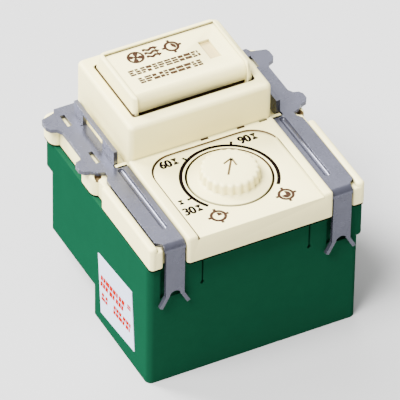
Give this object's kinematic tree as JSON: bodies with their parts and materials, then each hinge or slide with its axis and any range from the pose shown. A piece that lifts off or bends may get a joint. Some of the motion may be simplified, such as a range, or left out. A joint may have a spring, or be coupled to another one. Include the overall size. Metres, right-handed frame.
{
  "type": "flush wall switch for a ventilation fan with a delay-off timer dial",
  "caption": "Cream and green flush wall switch module lying on its back, with a push button, a delay timer dial and steel mounting straps",
  "frame": {"origin": "Middle of the bounding box in plan, at the back face of the housing's deep half (z 0).", "axes": "+Z comes out of the wall towards the user, +Y is up on the wall from the dial to the push button, +X is to the user's right."},
  "size_m": [0.0474, 0.0464, 0.0451],
  "materials": {
    "housing_green": "fine satin moulded urea or phenolic",
    "cover_cream": "satin moulded urea resin",
    "button_cream": "satin moulded urea resin with printed marks",
    "dial_cream": "satin moulded resin",
    "strap_steel": "zinc-plated pressed sheet, dull sheen",
    "spring_steel": "bright drawn or rolled",
    "label_paper": "white coated paper with red print",
    "lens_plastic": "milky lens",
    "inner_plastic": "plain moulded",
    "component_black": "moulded epoxy",
    "component_blue": "dipped or sleeved",
    "component_ochre": "epoxy dipped",
    "plunger_red": "plain moulded",
    "led_red": "tinted lens",
    "board_laminate": "paper-phenolic laminate",
    "core_iron": "varnished laminations",
    "coil_copper": "enamelled winding",
    "sink_aluminium": "extruded",
    "fuse_glass": "glass tube with plated caps",
    "resistor_ceramic": "white cement body",
    "terminal_brass": "stamped"
  },
  "bodies": {
    "module": {"housing": "housing_green", "front_cover": "cover_cream", "strap_left": "strap_steel", "strap_right": "strap_steel", "rating_label": "label_paper", "button_pivot_pin": "spring_steel", "button_springs": "spring_steel", "button_carrier": "inner_plastic", "push_switch": "component_black", "potentiometer": "component_blue", "main_board": "board_laminate", "board_screws": "spring_steel", "indicator_led": "led_red", "timer_chip": "component_black", "transformer_core": "core_iron", "transformer_coil": "coil_copper", "smoothing_capacitor": "component_blue", "film_capacitor": "component_ochre", "varistor": "component_blue", "triac": "component_black", "heat_sink": "sink_aluminium", "fuse": "fuse_glass", "power_resistor": "resistor_ceramic", "terminal_plates": "terminal_brass", "lock_springs_left": "spring_steel", "lock_springs_right": "spring_steel"},
    "button": {"push_button": "button_cream", "indicator_lens": "lens_plastic"},
    "plunger": {"switch_plunger": "plunger_red"},
    "dial": {"dial_knob": "dial_cream", "potentiometer_shaft": "spring_steel"},
    "release_left": {"release_button_left": "inner_plastic"},
    "release_right": {"release_button_right": "inner_plastic"}
  },
  "joints": [
    {"name": "button_press", "type": "hinge", "parent": "module", "child": "button", "pos_m": [0, 0.0182, 0.0374], "axis": [1, 0, 0], "range_deg": [0, 5.2], "stiffness_Nm_per_rad": 0.2, "springref_deg": -5.73, "deforming": ["button_springs"]},
    {"name": "switch_stroke", "type": "slide", "parent": "module", "child": "plunger", "axis": [0, 0, -1], "range_m": [0, 0.00097]},
    {"name": "timer_dial", "type": "hinge", "parent": "module", "child": "dial", "pos_m": [0, -0.0106, 0.034], "axis": [0, 0, 1], "range_deg": [-95, 160]},
    {"name": "release_left_press", "type": "slide", "parent": "module", "child": "release_left", "axis": [0, 0, 1], "range_m": [0, 0.0012], "stiffness_N_per_m": 1500, "springref_m": -0.001},
    {"name": "release_right_press", "type": "slide", "parent": "module", "child": "release_right", "axis": [0, 0, 1], "range_m": [0, 0.0012], "stiffness_N_per_m": 1500, "springref_m": -0.001}
  ],
  "couplings": [
    {"joint": "button_press", "follows": "switch_stroke", "rad_per_m": 89.3}
  ]
}
